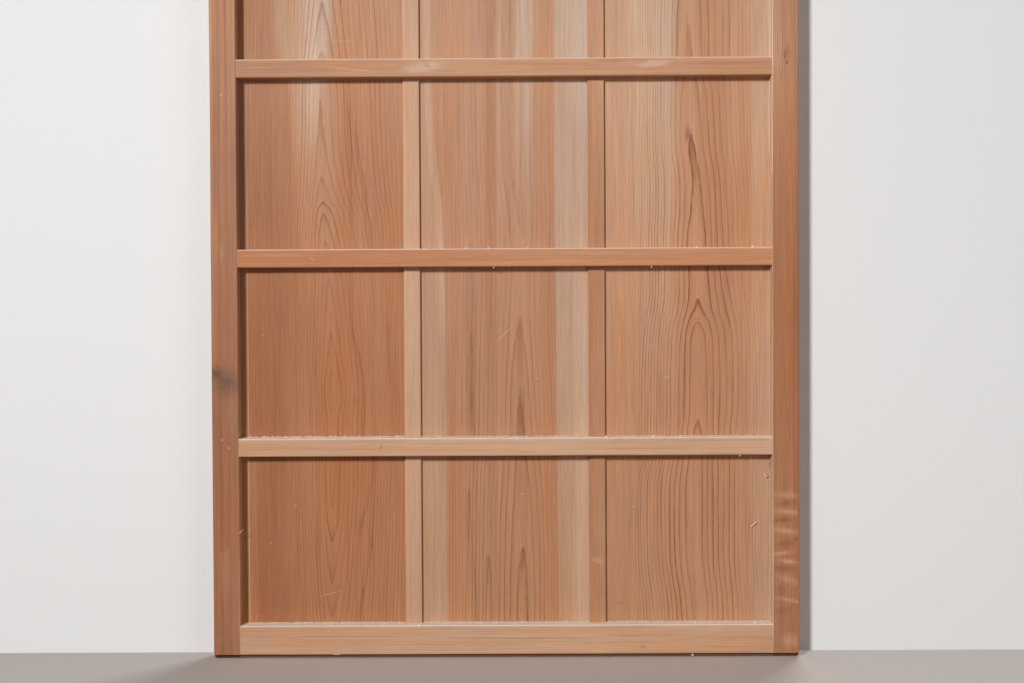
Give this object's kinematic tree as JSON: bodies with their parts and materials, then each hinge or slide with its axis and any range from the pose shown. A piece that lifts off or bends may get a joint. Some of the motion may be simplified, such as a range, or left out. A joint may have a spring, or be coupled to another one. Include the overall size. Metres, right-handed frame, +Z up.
{
  "type": "sliding board door",
  "caption": "Tall sliding wooden door: a slim frame with cross rails and thin cover strips in front of wide vertical boards, with tongues for a head and sill track.",
  "frame": {"origin": "under the middle of the door, at the foot of the sill tongue", "axes": "+Z up, +X to the right of someone facing the battened face, -Y out of the battened face"},
  "size_m": [0.88, 0.033, 1.772],
  "materials": {
    "stile_wood": "aged unfinished cedar, hand-worn, satin",
    "rail_wood": "aged unfinished cedar, dusty on top, matt",
    "strip_wood": "aged unfinished cedar, matt",
    "board_wood": "aged unfinished flat-sawn cedar with a cathedral figure, matt",
    "wedge_wood": "end-grain cedar, matt",
    "nail_iron": "rust-darkened hand-cut iron"
  },
  "bodies": {
    "root": {"left_stile": "stile_wood", "right_stile": "stile_wood", "bottom_rail": "rail_wood", "top_rail": "rail_wood", "cross_rail_1": "rail_wood", "cross_rail_2": "rail_wood", "cross_rail_3": "rail_wood", "cross_rail_4": "rail_wood", "cross_rail_5": "rail_wood", "left_strip": "strip_wood", "right_strip": "strip_wood", "left_board": "board_wood", "middle_board": "board_wood", "right_board": "board_wood", "tenon_wedges": "wedge_wood", "board_nails": "nail_iron"}
  },
  "joints": []
}
